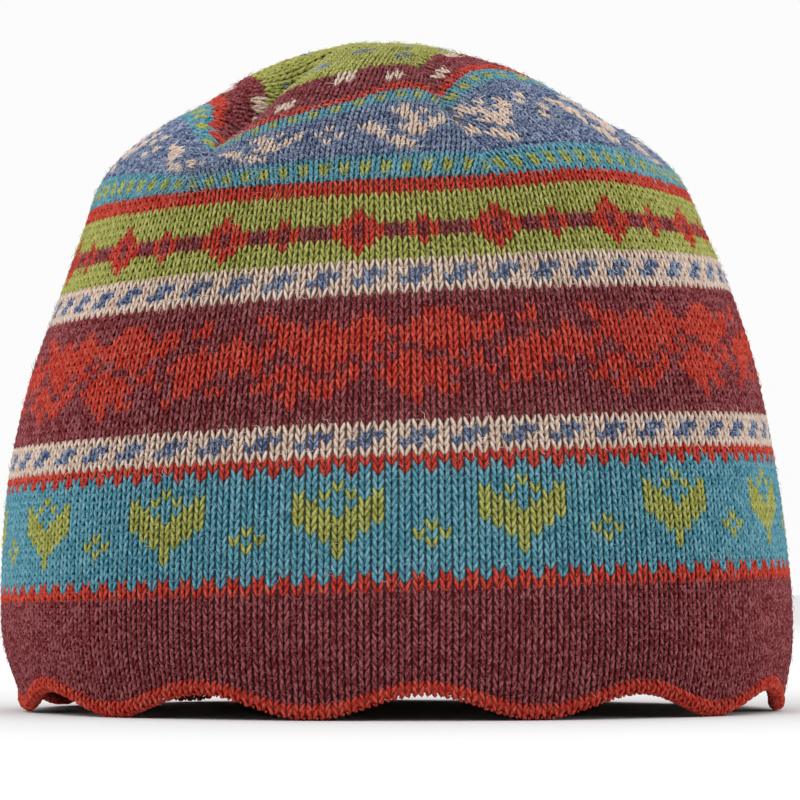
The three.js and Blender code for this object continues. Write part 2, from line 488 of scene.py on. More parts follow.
@dataclass
class HatCloth:
    """The shape of the cloth's outside, by azimuth and by distance along it from the top of the crown."""

    width: float = 190 * MM
    depth: float = 188 * MM
    height: float = 161 * MM
    wall: float = 2.6 * MM
    crown_arc: float = 85.3 * MM
    crown_lean: float = 2.2 * MM
    edging_height: float = 3.4 * MM
    scallop_depth: float = 5.4 * MM
    tip_flat: float = 6.6 * MM
    dart_depth: float = 11 * MM
    dart_width: float = 9 * MM
    band_tilt: float = 2.8 * MM
    band_lift: float = 2.6 * MM
    swell_push: float = 1.6 * MM
    dart_closed: float = 0.08
    dart_full_from: float = 0.4
    dart_full_to: float = 0.6
    lean_whole: float = 0.6
    lean_none: float = 1.35
    scallops: int = 11
    span_steps: int = 80
    first_tip: float = math.radians(-12.6)
    lift_azimuth: float = math.radians(42)
    lift_spread: float = math.radians(14)
    shallow_azimuth: float = math.radians(-94.4)
    shallow_spread: float = math.radians(14)
    shallow_share: float = 0.6
    lines: np.ndarray = field(init=False, repr=False)
    arcs: np.ndarray = field(init=False, repr=False)

    def __post_init__(self) -> None:
        """Works out the side view as a fine line with its length."""
        knots = np.array([[s.reach * self.width / 2, self.height * (1 - s.drop)] for s in SIDE_VIEW])
        ends = np.vstack([knots[:1], knots, knots[-1:]])
        share = np.linspace(0, 1, self.span_steps, endpoint=False)[:, None]
        spans = []
        for before, start, end, after in zip(ends, ends[1:], ends[2:], ends[3:]):
            out, into = (end - before) / 2, (after - start) / 2
            cubic = (2 * start - 2 * end + out + into) * share**3
            square = (3 * end - 3 * start - 2 * out - into) * share**2
            spans.append(cubic + square + out * share + start)
        self.lines = np.vstack([*spans, knots[-1:]])
        steps = np.linalg.norm(np.diff(self.lines, axis=0), axis=1)
        self.arcs = np.concatenate([[0], np.cumsum(steps)])

    @property
    def full_arc(self) -> float:
        """The cloth's length from the top of the crown to the hem."""
        return float(self.arcs[-1])

    def scallop(self, azimuth: np.ndarray) -> np.ndarray:
        """Finds how high the hem's edge is over the surface that it stands on.

        Args:
            azimuth: Azimuths from the front towards +X, in radians.

        Returns:
            The heights.
        """
        flat = (1 - math.cos(self.scallops * self.tip_flat / self.width)) / 2
        wave = (1 - np.cos(self.scallops * (azimuth - self.first_tip))) / 2
        shallow = self.shallow_share * near(azimuth, self.shallow_azimuth, self.shallow_spread)
        return self.scallop_depth * (1 - shallow) * np.maximum(0, (wave - flat) / (1 - flat))

    def lift(self, azimuth: np.ndarray) -> np.ndarray:
        """How far the knitted rows ride up at an azimuth."""
        return self.band_tilt * np.sin(azimuth) + self.front_lift(azimuth)

    def front_lift(self, azimuth: np.ndarray) -> np.ndarray:
        """How far more the rows ride up at the front right."""
        return self.band_lift * near(azimuth, self.lift_azimuth, self.lift_spread)

    def taken_in(self, azimuth: np.ndarray, arc: np.ndarray, radius: np.ndarray) -> np.ndarray:
        """How far the darts draw the cloth in.

        Args:
            azimuth: Azimuths from the front towards +X, in radians.
            arc: Distances along the cloth from the top.
            radius: The cloth's radius there.

        Returns:
            The depth of the grooves.
        """
        share = arc / self.crown_arc
        opening = smooth(share, self.dart_closed, self.dart_full_from)
        along = opening * (1 - smooth(share, self.dart_full_to, 1))
        deepest = np.zeros(np.broadcast(azimuth, arc).shape)
        for dart in DARTS:
            turn = azimuth - dart.path(share)
            away = 2 * radius * np.abs(np.sin(turn / 2))
            width = self.dart_width * np.where(np.sin(turn) < 0, dart.before, dart.after)
            groove = dart.depth * self.dart_depth * np.exp(-away / width)
            deepest = np.maximum(deepest, groove)
        return along * deepest

    def swollen(self, azimuth: np.ndarray, arc: np.ndarray) -> np.ndarray:
        """Finds how far the soft wall swells out.

        Args:
            azimuth: Azimuths from the front towards +X, in radians.
            arc: Distances along the cloth from the top.

        Returns:
            How far it stands out, less than 0 where it falls in.
        """
        total = np.zeros(np.broadcast(azimuth, arc).shape)
        for place in SWELLS:
            across = near(azimuth, math.radians(place.azimuth), math.radians(place.across))
            along = np.exp(-(((arc / self.height - place.arc) / place.along) ** 2))
            total = total + self.swell_push * place.push * across * along
        return total

    def point(self, azimuth: np.ndarray, arc: np.ndarray, inset: np.ndarray | float = 0.0) -> np.ndarray:
        """Finds points in the cloth.

        Args:
            azimuth: Azimuths from the front towards +X, in radians.
            arc: Distances along the cloth from the top.
            inset: How far under the cloth's outside.

        Returns:
            The points, one to a row.
        """
        azimuth, arc, inset = np.broadcast_arrays(azimuth, arc, inset)
        held = np.clip(arc, 0, self.full_arc)
        reach = np.interp(held, self.arcs, self.lines[:, 0])
        height = np.interp(held, self.arcs, self.lines[:, 1])
        slope = np.gradient(self.lines, self.arcs + np.arange(len(self.arcs)) * TINY, axis=0)
        slope = unit(slope)
        out_by, down_by = (np.interp(held, self.arcs, slope[:, i]) for i in (0, 1))
        beyond = np.maximum(0, arc - self.full_arc)
        sunk = inset + self.taken_in(azimuth, held, reach) - self.swollen(azimuth, held)
        radius = np.maximum(0, reach + down_by * sunk + out_by * beyond)
        level = height - out_by * sunk + down_by * beyond
        lean = self.crown_lean * (1 - smooth(held / self.crown_arc, self.lean_whole, self.lean_none))
        across = radius * np.sin(azimuth) - lean
        back = -radius * np.cos(azimuth) * (self.depth / self.width)
        return np.stack([across, back, level], axis=-1)


@dataclass(frozen=True)
class RowLine:
    """How one row hangs: drop is how far it is under an even spacing, tilt how far it rises to the right."""

    row: int
    drop: float
    tilt: float


ROW_LINES = (
    RowLine(0, 0, 0),
    RowLine(13, -2.2 * MM, 3.3 * MM),
    RowLine(32, -0.5 * MM, 4.4 * MM),
    RowLine(51, -1.5 * MM, 4.9 * MM),
    RowLine(62, 0, 2.8 * MM),
)


@dataclass
class SideRows:
    """Where the side's stitches lie: a column is a stitch round the hat, a row counts up from the edging."""

    cloth: HatCloth
    scallop_fade: float = 0.2
    lift_from: float = 0.75

    def point(self, column: np.ndarray, row: np.ndarray, inset: float = 0.0) -> np.ndarray:
        """Finds the middle of stitches.

        Args:
            column: Stitches round from the front.
            row: Rows up from the edging.
            inset: How far under the cloth's outside.

        Returns:
            The points, one to a row.
        """
        azimuth = (np.asarray(column) + 0.5) * math.tau / STITCHES
        share = np.asarray(row) / SIDE_ROWS
        lower = self.cloth.full_arc - self.cloth.edging_height
        charted = [line.row for line in ROW_LINES]
        drop = np.interp(row, charted, [line.drop for line in ROW_LINES])
        tilt = np.interp(row, charted, [line.tilt for line in ROW_LINES])
        arc = lower - share * (lower - self.cloth.crown_arc) + drop - tilt * np.sin(azimuth)
        arc = arc - self.cloth.scallop(azimuth) * (1 - smooth(share, 0, self.scallop_fade))
        arc = arc - self.cloth.front_lift(azimuth) * smooth(share, self.lift_from, 1)
        return self.cloth.point(azimuth, arc, inset)


@dataclass(frozen=True)
class RowRise:
    """Where the crown's rows ride up towards the top.

    azimuth and across are in degrees. The rise begins at first, is whole from full_from to full_to and is
    gone at last, all in rows up from the side.
    """

    name: str
    azimuth: float
    across: float
    rise: float
    first: float
    full_from: float
    full_to: float
    last: float

    def at(self, azimuth: np.ndarray, row: np.ndarray) -> np.ndarray:
        """How far the rows ride up, at azimuths in radians and rows."""
        along = smooth(row, self.first, self.full_from) * (1 - smooth(row, self.full_to, self.last))
        return self.rise * near(azimuth, math.radians(self.azimuth), math.radians(self.across)) * along


ROW_RISES = (
    RowRise("left_lobe", -72, 22, 5.5 * MM, first=6, full_from=17, full_to=20, last=31),
    RowRise("front_peak", 4, 9, 4 * MM, first=8, full_from=15, full_to=20, last=34),
    RowRise("front_right_lobe", 32, 20, 14 * MM, first=2, full_from=14, full_to=22, last=44),
)


@dataclass(frozen=True)
class Gore:
    """The stretch of crown between two darts."""

    before: Dart
    after: Dart
    middle: float

    def edge(self, share: np.ndarray, onward: np.ndarray) -> np.ndarray:
        """The angle from the gore's middle to a dart, at a share of the crown's length from the top."""
        return np.where(onward, self.after.path(share) - self.middle, self.middle - self.before.path(share))


@dataclass
class CrownRows:
    """Where the crown's stitches lie: in gores between the darts, each narrowing to the top.

    The sag of the rows into a dart grows down to sag_full and is gone above sag_closed, as shares of the
    crown's length from the top. lift_fade is how fast the tilt of the rows fades towards the top. A row lies
    between least_left and most_left of that length, and its stitches reach past_dart of a gore's width.
    """

    cloth: HatCloth
    least_left: float = 1e-4
    most_left: float = 1.1
    past_dart: float = 1.05
    least_arc: float = 0.2 * MM
    narrowing: float = 0.9
    sag_closed: float = 0.3
    sag_full: float = 0.6
    lift_fade: float = 0.7

    def gores(self) -> list[Gore]:
        """Pairs the darts up.

        Returns:
            The gores, from the left one on.
        """
        first = DARTS[0]
        turned = replace(first, azimuth=first.azimuth + 360)
        pairs = zip(DARTS, (*DARTS[1:], turned))
        return [Gore(a, b, math.radians((a.azimuth + b.azimuth) / 2)) for a, b in pairs]

    def count(self, gore: Gore, row: float, onward: bool) -> float:
        """How many stitches a gore has in a row on one side of its middle."""
        left = max(self.least_left, (CROWN_ROWS - row) / CROWN_ROWS)
        return STITCHES / math.tau * float(gore.edge(left, onward)) * left**self.narrowing

    def point(self, gore: Gore, offset: np.ndarray, row: np.ndarray, inset: float) -> np.ndarray:
        """Finds the middle of stitches.

        Args:
            gore: The gore.
            offset: Stitches from the gore's middle.
            row: Rows up from the side.
            inset: How far under the cloth's outside.

        Returns:
            The points, one to a row.
        """
        offset = np.asarray(offset, float)
        left = (CROWN_ROWS - np.asarray(row, float)) / CROWN_ROWS
        left = np.clip(left, self.least_left, self.most_left)
        onward = offset >= 0
        edge = gore.edge(left, onward)
        side = offset / (STITCHES / math.tau * edge * left**self.narrowing)
        into_before = np.clip((1 - side) / 2, 0, self.past_dart) ** gore.before.dip_after
        into_after = np.clip((1 + side) / 2, 0, self.past_dart) ** gore.after.dip_before
        drawn = smooth(left, self.sag_closed, self.sag_full) * np.clip(1 - left, 0, 1) / (1 - self.sag_full)
        sag = drawn * (gore.before.sag * into_before + gore.after.sag * into_after)
        round_at = gore.middle + edge * side
        lift = self.cloth.lift(round_at) * left**self.lift_fade
        lift = lift + sum(place.at(round_at, row) for place in ROW_RISES)
        arc = np.maximum(left * self.cloth.crown_arc + sag - lift, self.least_arc)
        azimuth = gore.middle + side * gore.edge(arc / self.cloth.crown_arc, onward)
        return self.cloth.point(azimuth, arc, inset)

    def even_point(self, column: np.ndarray, row: np.ndarray, inset: float) -> np.ndarray:
        """Finds points on the crown as if its rows were even and no stitches taken in.

        Args:
            column: Stitches round from the front.
            row: Rows up from the side.
            inset: How far under the cloth's outside.

        Returns:
            The points, one to a row.
        """
        azimuth = (column + 0.5) * math.tau / STITCHES
        left = (CROWN_ROWS - row) / CROWN_ROWS
        return self.cloth.point(azimuth, left * (self.cloth.crown_arc - self.cloth.lift(azimuth)), inset)


class Way(Enum):
    """The two ways across the cloth, by their place in a stitch's measures."""

    ACROSS = 0
    UP = 1


@dataclass
class Places:
    """Stitches to be worked: where they are, which way they face, how big they are and in which yarn."""

    centre: np.ndarray
    outward: np.ndarray
    upward: np.ndarray
    stretch: np.ndarray
    yarn: np.ndarray

    @classmethod
    def along(
        cls, point: PointAt, across: np.ndarray, row: np.ndarray, inset: float, yarn: np.ndarray
    ) -> "Places":
        """Measures the places from the cloth's own shape.

        Args:
            point: Finds points from stitches across, rows up and inset.
            across: Stitches across.
            row: Rows up.
            inset: How far under the cloth's outside.
            yarn: Each stitch's yarn, by its number.

        Returns:
            The places.
        """
        wide = point(across + 0.5, row, inset) - point(across - 0.5, row, inset)
        tall = point(across, row + 0.5, inset) - point(across, row - 0.5, inset)
        outward = unit(np.cross(wide, tall))
        upward = unit(tall)
        square = wide - (wide * upward).sum(axis=1, keepdims=True) * upward
        width = np.linalg.norm(square, axis=1)
        rise = np.linalg.norm(tall, axis=1)
        size = np.stack([width, rise, (width + STITCH_WIDTH) / 2], axis=1)
        return cls(point(across, row, inset), outward, upward, size, yarn.astype(np.int32))

    @classmethod
    def joined(cls, groups: list["Places"]) -> "Places":
        """Puts several groups of places in one."""
        names = ("centre", "outward", "upward", "stretch", "yarn")
        return cls(*(np.concatenate([getattr(g, name) for g in groups]) for name in names))

    def halved(self, way: Way, most: float) -> "Places":
        """Works two stitches in place of each one that the slanting rows would draw out too far.

        Args:
            way: The way that the two lie beside each other.
            most: The most that a stitch may measure that way.

        Returns:
            The places, with two for each that was too large.
        """
        large = self.stretch[:, way.value] > most
        upward, outward = self.upward[large], self.outward[large]
        toward = upward if way is Way.UP else np.cross(upward, outward)
        step = toward * self.stretch[large, way.value, None] / 4
        centre, stretch = self.centre.copy(), self.stretch.copy()
        centre[large] -= step
        stretch[large, way.value] /= 2
        stretch[large, 2] = (stretch[large, 0] + STITCH_WIDTH) / 2
        twins = (self.outward, self.upward, stretch, self.yarn)
        centre = np.concatenate([centre, self.centre[large] + step])
        return Places(centre, *(np.concatenate([fact, fact[large]]) for fact in twins))

    def scattered(self, chance: np.random.Generator, count: int, over: float) -> "Places":
        """Picks places at random and strays from the middle of each stitch.

        Args:
            chance: Where the chance comes from.
            count: How many places are wanted. A stitch may give more than one.
            over: How far outwards they are lifted.

        Returns:
            The picked places.
        """
        kept = chance.integers(0, len(self.yarn), count)
        outward, upward, stretch = self.outward[kept], self.upward[kept], self.stretch[kept]
        stray = chance.uniform(-0.5, 0.5, (count, 2)) * stretch[:, :2]
        beside = stray[:, :1] * np.cross(upward, outward) + stray[:, 1:] * upward
        return Places(self.centre[kept] + beside + over * outward, outward, upward, stretch, self.yarn[kept])

    def cloud(self, name: str) -> Object:
        """Lays the places out as points for a geometry tree.

        Args:
            name: The object's name.

        Returns:
            An object whose mesh has a vertex and its facts for each stitch.
        """
        mesh = bpy.data.meshes.new(name)
        mesh.from_pydata(self.centre.tolist(), [], [])
        for label in ("outward", "upward", "stretch"):
            fact = mesh.attributes.new(label, "FLOAT_VECTOR", "POINT")
            fact.data.foreach_set("vector", getattr(self, label).ravel())
        mesh.attributes.new("yarn", "INT", "POINT").data.foreach_set("value", self.yarn)
        return link_object(name, mesh)


LEAF_CHART = (
    "..RR.......R....RRR......R..",
    "...RRR.RR.RRR..RRRRR.RR.RR..",
    "R...RRRRRRRRRRRRRRRRRRR.....",
    "RR.RRRRRRRRRR.RRRRRRRR...R.R",
    "RRRR.RRRRRRR.R..RRRR...RRRRR",
    "RRR...RRRR.RR.RR..R.R.RRRRRR",
    "R.R.RR.RR.R..RRRRR.RR..RRRR.",
    "...RRRR..RR.RRRRRRR..R.RRR..",
    "..RR.RRRRR...RRRRR.....RR.RR",
    "....RR.RR.....RR.RR...R.....",
    ".....R.........R............",
)
TULIP_CHART = (
    "...G..........",
    "G.G.G.G.......",
    "GG...GG.......",
    "GGG.GGG.......",
    "GGGGGGG.......",
    ".GGGGG....G...",
    "..GGG....G.G..",
    "...G......G...",
    "...G..........",
)
SPRIG_CHART = (
    "....C.........",
    "...CC.C.......",
    "....CC..C..C..",
    "CC...C.CC.C...",
    ".CC.CCCC....C.",
    "..C..CC....C..",
    "...CC.........",
    "....CC........",
)
DASH_CHART = ("CCCC", "CBBC", "BBCC", "CCCC")
DIAMOND_CHART = (
    "..R..........",
    ".RRR....R....",
    "RRNRRNNRNRNNN",
    "RRNRRNNRNRNNN",
    ".RRR....R....",
    "..R..........",
)
DOT_CHART = ("TT", "TG", "TG", "TT")
SPOT_CHART = ("..CC......", "..CC......", "..........", ".......CC.", ".......CC.", "..........")
BUD_CHART = (".BB......", ".BB......", ".........", ".........", "......BB.", "......BB.")


@dataclass(frozen=True)
class Band:
    """Rows worked from one chart. The chart reads from its top row; "." is the ground yarn."""

    name: str
    rows: int
    ground: Yarn
    chart: tuple[str, ...] = ()
    below: int = 0
    centre: int = 0

    def worked(self) -> np.ndarray:
        """Works the band out, stitch by stitch.

        Returns:
            Yarn numbers, a row of the array for each knitted row from the bottom up.
        """
        yarns = np.full((self.rows, STITCHES), self.ground.place, np.int32)
        for up, letters in enumerate(reversed(self.chart)):
            for column in range(STITCHES):
                signed = column if column < STITCHES // 2 else column - STITCHES
                letter = letters[(signed - self.centre) % len(letters)]
                if letter != "." and self.below + up < self.rows:
                    yarns[self.below + up, column] = Yarn(letter).place
        return yarns


SIDE_PIECES = {
    "brown_hem_band": (Band("hem", 12, Yarn.BROWN), Band("line", 1, Yarn.RED)),
    "tulip_band": (
        Band("broken_line", 1, Yarn.TEAL, ("TR",)),
        Band("ground", 2, Yarn.TEAL),
        Band("tulips", 9, Yarn.TEAL, TULIP_CHART, centre=-8),
        Band("ground", 1, Yarn.TEAL),
        Band("broken_line", 1, Yarn.TEAL, ("RT",)),
        Band("line", 1, Yarn.RED),
    ),
    "lower_dash_band": (Band("dashes", 4, Yarn.CREAM, DASH_CHART),),
    "leaf_band": (Band("leaves", 15, Yarn.BROWN, LEAF_CHART, below=2, centre=-14),),
    "upper_dash_band": (Band("dashes", 4, Yarn.CREAM, DASH_CHART),),
    "diamond_band": (
        Band("diamonds", 9, Yarn.GREEN, DIAMOND_CHART, below=1, centre=-6),
        Band("lines", 2, Yarn.RED),
    ),
}
CROWN_PIECES = {
    "crown_scroll_band": (
        Band("dots", 4, Yarn.TEAL, DOT_CHART),
        Band("sprigs", 10, Yarn.BLUE, SPRIG_CHART, below=1, centre=-4),
        Band("dots", 4, Yarn.TEAL, DOT_CHART),
    ),
    "crown_top": (
        Band("lines", 2, Yarn.RED),
        Band("spots", 6, Yarn.BROWN, SPOT_CHART),
        Band("buds", 18, Yarn.GREEN, BUD_CHART, below=3),
    ),
}


def link_object(name: str, data: ID) -> Object:
    """Puts a new object in the scene.

    Args:
        name: The object's name.
        data: Its mesh, light or camera.

    Returns:
        The object.
    """
    made = bpy.data.objects.new(name, data)
    bpy.context.collection.objects.link(made)
    return made


def smooth_object(name: str, points: np.ndarray, faces: list, maps: dict) -> Object:
    """Makes a smooth mesh with its maps.

    Args:
        name: The object's name.
        points: Its vertices.
        faces: Its faces.
        maps: A place for every corner of every face, by the map's name.

    Returns:
        The object.
    """
    mesh = bpy.data.meshes.new(name)
    mesh.from_pydata(points.tolist(), [], faces)
    for label, places in maps.items():
        mesh.uv_layers.new(name=label).data.foreach_set("uv", places.ravel())
    mesh.polygons.foreach_set("use_smooth", [True] * len(mesh.polygons))
    return link_object(name, mesh)


def in_a_row(corners: list) -> np.ndarray:
    """Puts the corners of all faces in one list."""
    return np.array([place for face in corners for place in face], np.float32)


@dataclass
class Strips:
    """Faces laid between rings of vertices, with their corners on the "strand" map and their strips."""

    count: int
    faces: list[list[int]] = field(default_factory=list)
    corners: list[list[tuple[float, float]]] = field(default_factory=list)
    strips: list[int] = field(default_factory=list)

    def lay(
        self,
        rings: tuple[int, int],
        levels: tuple[float, float],
        strip: int = 0,
        wide: float = 1,
        turned: bool = False,
    ) -> None:
        """Joins two rings of vertices with quads.

        Args:
            rings: The first vertex of the lower ring and of the upper one.
            levels: The rings' places on the map.
            strip: The strip of the painted map that the quads go in.
            wide: How wide a quad is on the map.
            turned: True if the quads face the other way.
        """
        (low, high), (foot, head) = rings, levels
        for column in range(self.count):
            beside, left, right = (column + 1) % self.count, column * wide, (column + 1) * wide
            ring = [low + column, low + beside, high + beside, high + column]
            places = [(left, foot), (right, foot), (right, head), (left, head)]
            self.faces.append(ring[::-1] if turned else ring)
            self.corners.append(places[::-1] if turned else places)
            self.strips.append(strip)


@dataclass(frozen=True)
class LegPoint:
    """A point on a stitch's right leg: across and out in stitch widths, along in rows, plump as a share."""

    name: str
    across: float
    along: float
    out: float
    plump: float


LEG = (
    LegPoint("foot", 0.065, -0.82, -0.06, 0),
    LegPoint("low", 0.125, -0.5, 0.08, 0.85),
    LegPoint("middle", 0.235, 0.05, 0.14, 1),
    LegPoint("high", 0.335, 0.6, 0.07, 0.85),
    LegPoint("head", 0.37, 0.95, -0.12, 0),
)


@dataclass
class LoopShape:
    """One knitted stitch as it shows: two plump legs that meet at the foot and dive behind the next one."""

    name: str = "stitch_shape"
    sides: int = 3
    width: float = 3.05 * MM
    rise: float = 1.92 * MM
    thick: float = 0.6 * MM
    flat: float = 0.7

    def leg(self, mirror: int) -> tuple[np.ndarray, list[list[int]], list[list[tuple[float, float]]]]:
        """Builds a leg.

        Args:
            mirror: 1 for the right leg, -1 for the left.

        Returns:
            Its vertices, faces and the faces' corners on the "strand" map.
        """
        line = np.array([(point.across, point.along, point.out) for point in LEG])
        real = line * (self.width, self.rise, self.width)
        lengths = np.concatenate([[0], np.cumsum(np.linalg.norm(np.diff(real, axis=0), axis=1))])
        lengths = lengths / lengths[-1]
        along = unit(np.gradient(real, axis=0))
        across = unit(np.cross(along, (0.0, 0.0, 1.0)))
        facing = np.cross(across, along)
        vertices = [real[0]]
        for step in range(1, len(LEG) - 1):
            for side in range(self.sides):
                turn = math.tau * (side / self.sides + 0.25)
                sideways = across[step] * math.cos(turn)
                frontways = facing[step] * math.sin(turn) * self.flat
                vertices.append(real[step] + (sideways + frontways) * self.thick * LEG[step].plump)
        vertices.append(real[-1])
        vertices = np.array(vertices) / (self.width, self.rise, self.width)
        vertices[:, 0] *= mirror
        faces, corners = [], []
        rings = len(LEG) - 2
        last = len(vertices) - 1
        for side in range(self.sides):
            after = (side + 1) % self.sides
            left, right = side / self.sides, (side + 1) / self.sides
            faces.append([0, 1 + after, 1 + side])
            corners.append([((left + right) / 2, 0), (right, lengths[1]), (left, lengths[1])])
            for ring in range(rings - 1):
                low, high = 1 + ring * self.sides, 1 + (ring + 1) * self.sides
                faces.append([low + side, low + after, high + after, high + side])
                foot, head = lengths[ring + 1], lengths[ring + 2]
                corners.append([(left, foot), (right, foot), (right, head), (left, head)])
            top = 1 + (rings - 1) * self.sides
            faces.append([top + side, top + after, last])
            corners.append([(left, lengths[-2]), (right, lengths[-2]), ((left + right) / 2, 1)])
        if mirror < 0:
            faces = [face[::-1] for face in faces]
            corners = [list(reversed(row)) for row in corners]
        return vertices, faces, corners

    def build(self) -> Object:
        """Builds the stitch.

        Returns:
            The stitch as an object for the trees to repeat.
        """
        vertices, faces, corners = [], [], []
        for half, mirror in enumerate((1, -1)):
            points, rings, places = self.leg(mirror)
            start = len(vertices)
            vertices.extend(points.tolist())
            faces.extend([[start + i for i in face] for face in rings])
            corners.extend([[((u + half) / 2, v) for u, v in row] for row in places])
        return smooth_object(self.name, np.array(vertices), faces, {"strand": in_a_row(corners)})


@dataclass
class FibreShape:
    """A loose curl of fibre that lies over the yarn, thin, closed and pointed, one unit long."""

    name: str = "fibre_shape"
    thick: float = 0.03
    taper: float = 0.8
    curl: float = 0.3
    lift: float = 0.15
    sides: int = 3

    def build(self) -> Object:
        """Builds the curl.

        Returns:
            The curl as an object for the trees to repeat.
        """
        turns = [math.tau * side / self.sides for side in range(self.sides)]
        ring = np.array([(math.sin(turn), 0.0, math.cos(turn)) for turn in turns]) * self.thick
        bend = np.array((self.curl, 0.5, self.lift))
        tip = np.array([(0.5 * self.curl, 1.0, self.lift)])
        vertices = np.vstack([ring, ring * self.taper + bend, tip])
        faces, corners = [list(range(self.sides))[::-1]], [[(0.5, 0.0)] * self.sides]
        for side in range(self.sides):
            after = (side + 1) % self.sides
            left, right = side / self.sides, (side + 1) / self.sides
            faces.append([side, after, self.sides + after, self.sides + side])
            corners.append([(left, 0), (right, 0), (right, 0.5), (left, 0.5)])
            faces.append([self.sides + side, self.sides + after, 2 * self.sides])
            corners.append([(left, 0.5), (right, 0.5), ((left + right) / 2, 1)])
        return smooth_object(self.name, vertices, faces, {"strand": in_a_row(corners)})


@dataclass
class StitchTree:
    """A geometry tree that repeats a shape at every place, in that place's yarn."""

    name: str
    materials: list[Material]
    tree: NodeTree = field(init=False)

    def __post_init__(self) -> None:
        """Builds the tree with named inputs."""
        inputs = {"Geometry": "NodeSocketGeometry", "Shape": "NodeSocketObject"}
        for label in ("Size", "Unevenness", "Tilt", "Spin", "Tone"):
            inputs[label] = "NodeSocketFloat"
        inputs["Seed"] = "NodeSocketInt"
        outputs = {"Geometry": "NodeSocketGeometry"}
        self.tree, given, result = start_group(self.name, inputs, outputs, "GeometryNodeTree")
        self.tree.links.new(self.wire(given), result.inputs["Geometry"])

    def fact(self, label: str, kind: str = "FLOAT_VECTOR") -> NodeSocket:
        """Reads one of the places' facts by its name."""
        fact = add_node(self.tree, "GeometryNodeInputNamedAttribute", {"Name": label}, data_type=kind)
        return fact.outputs["Attribute"]

    def chance(self, amount: NodeSocket, seed: NodeSocket, kind: str = "FLOAT") -> NodeSocket:
        """Adds an even chance between minus and plus an amount.

        Args:
            amount: The socket with the amount.
            seed: The socket with the seed.
            kind: The Random Value node's data type.

        Returns:
            The socket with the chance.
        """
        low, high, found = (0, 1, 0) if kind == "FLOAT_VECTOR" else (2, 3, 1)
        given = {low: math_node(self.tree, "MULTIPLY", amount, -1.0), high: amount, "Seed": seed}
        return add_node(self.tree, "FunctionNodeRandomValue", given, data_type=kind).outputs[found]

    def wire(self, given: bpy_prop_collection) -> NodeSocket:
        """Joins the tree up from its inputs.

        Args:
            given: The tree's inputs.

        Returns:
            The socket with the dressed copies.
        """
        tree = self.tree
        seeds = [math_node(tree, "ADD", given["Seed"], extra) for extra in (11.0, 23.0, 37.0)]
        shade = self.chance(given["Tone"], seeds[2])
        tone = {"Name": "tone", "Geometry": given["Geometry"], "Value": shade}
        toned = add_node(tree, "GeometryNodeStoreNamedAttribute", tone, data_type="FLOAT", domain="POINT")
        stray = self.chance(given["Unevenness"], seeds[1])
        grown = math_node(tree, "MULTIPLY", math_node(tree, "ADD", stray, 1.0), given["Size"])
        size = {0: self.fact("stretch"), "Scale": grown}
        shape = add_node(tree, "GeometryNodeObjectInfo", {"Object": given["Shape"]})
        laid = {
            "Points": toned.outputs["Geometry"],
            "Instance": shape.outputs["Geometry"],
            "Rotation": self.turn(given, seeds[0]),
            "Scale": add_node(tree, "ShaderNodeVectorMath", size, operation="SCALE").outputs["Vector"],
        }
        copies = add_node(tree, "GeometryNodeInstanceOnPoints", laid).outputs["Instances"]
        flow = add_node(tree, "GeometryNodeRealizeInstances", {"Geometry": copies}).outputs["Geometry"]
        yarn = self.fact("yarn", "INT")
        for place, material in enumerate(self.materials):
            pair = {2: yarn, 3: place}
            same = add_node(tree, "FunctionNodeCompare", pair, data_type="INT", operation="EQUAL")
            dressed = {"Geometry": flow, "Selection": same.outputs["Result"], "Material": material}
            flow = add_node(tree, "GeometryNodeSetMaterial", dressed).outputs["Geometry"]
        return flow

    def turn(self, given: bpy_prop_collection, spin_seed: NodeSocket) -> NodeSocket:
        """Turns each copy the way its place faces, and a little askew.

        Args:
            given: The tree's inputs.
            spin_seed: The socket with the seed of the spin.

        Returns:
            The socket with the rotation.
        """
        tree = self.tree
        axes = {"Primary Axis": self.fact("outward"), "Secondary Axis": self.fact("upward")}
        facing = add_node(tree, "FunctionNodeAxesToRotation", axes, primary_axis="Z", secondary_axis="Y")
        sway = self.chance(given["Tilt"], given["Seed"], "FLOAT_VECTOR")
        spin = add_node(tree, "ShaderNodeCombineXYZ", {"Z": self.chance(given["Spin"], spin_seed)})
        pair = {0: sway, 1: spin.outputs["Vector"]}
        total = add_node(tree, "ShaderNodeVectorMath", pair, operation="ADD").outputs["Vector"]
        askew = add_node(tree, "FunctionNodeEulerToRotation", {"Euler": total}).outputs["Rotation"]
        turns = {"Rotation": facing.outputs["Rotation"], "Rotate By": askew}
        both = add_node(tree, "FunctionNodeRotateRotation", turns, rotation_space="LOCAL")
        return both.outputs["Rotation"]

    def work(self, places: Places, name: str, shape: Object, **sizes: float) -> Object:
        """Works the places in wool.

        Args:
            places: Where the copies go.
            name: The finished piece's name.
            shape: What is repeated.
            sizes: Values of the tree's named inputs.

        Returns:
            The piece as a plain mesh.
        """
        cloud = places.cloud(name + "_points")
        modifier = cloud.modifiers.new("stitches", "NODES")
        modifier.node_group = self.tree
        values = {"Shape": shape, **sizes}
        for socket in self.tree.interface.items_tree:
            if getattr(socket, "in_out", "") == "INPUT" and socket.name in values:
                modifier[socket.identifier] = values[socket.name]
        bpy.context.view_layer.update()
        evaluated = cloud.evaluated_get(bpy.context.evaluated_depsgraph_get())
        mesh = bpy.data.meshes.new_from_object(evaluated)
        mesh.name = name
        cloud.modifiers.remove(modifier)
        bpy.data.objects.remove(cloud)
        for label in ("outward", "upward", "stretch"):
            if label in mesh.attributes:
                mesh.attributes.remove(mesh.attributes[label])
        lay_bake_map(mesh, len(places.yarn))
        return link_object(name, mesh)


CELL_EDGE = 0.06
STRIP_EDGE = 0.02


